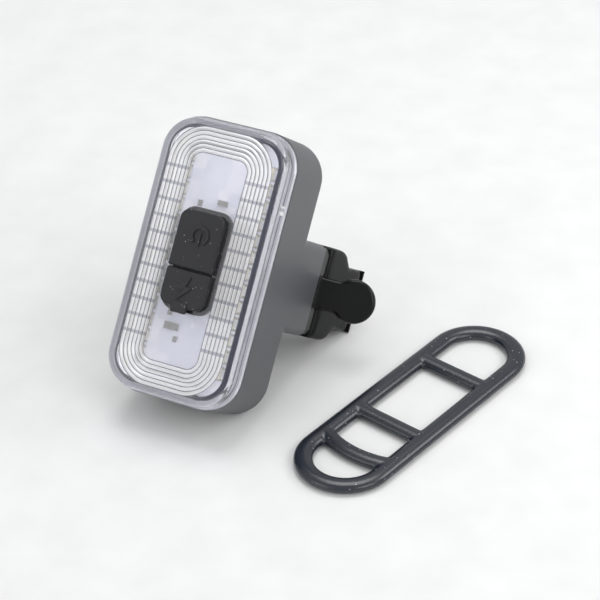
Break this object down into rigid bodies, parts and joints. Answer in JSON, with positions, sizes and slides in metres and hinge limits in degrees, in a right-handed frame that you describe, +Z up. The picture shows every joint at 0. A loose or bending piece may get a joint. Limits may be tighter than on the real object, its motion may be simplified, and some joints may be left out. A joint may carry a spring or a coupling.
{
  "type": "bicycle safety light",
  "caption": "Rectangular bicycle safety light with a clear ridged lens, a silicone button and port flap, a rear post saddle with strap hooks, and a loose rubber ladder strap.",
  "frame": {"origin": "on the table, under the middle of the lamp and strap together", "axes": "+X across the lamp to the right as seen from the lens side, +Y away from the viewer, +Z up; the lamp leans back"},
  "size_m": [0.1052, 0.0794, 0.0697],
  "materials": {
    "housing_abs": "fine spark texture, dark grey",
    "clear_lens": "clear polished polycarbonate",
    "seal_silicone": "matte",
    "board_white": "white solder mask",
    "led_phosphor": "cream resin",
    "component_grey": "moulded",
    "switch_black": "moulded",
    "port_steel": "plated",
    "cover_silicone": "matte silicone",
    "foam_tape": "closed cell",
    "battery_wrap": "laminated foil",
    "connector_white": "moulded",
    "lead_red": "silicone insulation",
    "lead_black": "silicone insulation",
    "bracket_black": "moulded, satin",
    "pad_rubber": "matte",
    "screw_steel": "zinc plated",
    "strap_rubber": "satin rubber"
  },
  "bodies": {
    "lamp": {"housing": "housing_abs", "lens": "clear_lens", "seal_ring": "seal_silicone", "led_board": "board_white", "led_chips": "led_phosphor", "board_parts": "component_grey", "switch_body": "component_grey", "port_shell": "port_steel", "port_tongue": "switch_black", "silicone_cover": "cover_silicone", "battery_foam": "foam_tape", "battery": "battery_wrap", "battery_connector": "connector_white", "lead_positive": "lead_red", "lead_negative": "lead_black", "hook_plate": "bracket_black", "saddle_block": "bracket_black", "saddle_pad": "pad_rubber", "bracket_screws": "screw_steel"},
    "power_button": {"power_button": "cover_silicone", "switch_plunger": "switch_black"},
    "port_flap": {"port_flap": "cover_silicone"},
    "strap": {"strap": "strap_rubber"}
  },
  "joints": [
    {"name": "button_press", "type": "slide", "parent": "lamp", "child": "power_button", "axis": [0, 0.7925, -0.6098], "range_m": [0, 0.0004], "stiffness_N_per_m": 1500},
    {"name": "flap_hinge", "type": "hinge", "parent": "lamp", "child": "port_flap", "pos_m": [-0.01895, -0.02123, 0.04179], "axis": [-1, 0, 0], "range_deg": [0, 115]},
    {"name": "strap_lift", "type": "slide", "parent": "lamp", "child": "strap", "axis": [0, 0, 1], "range_m": [0, 0.05]}
  ]
}
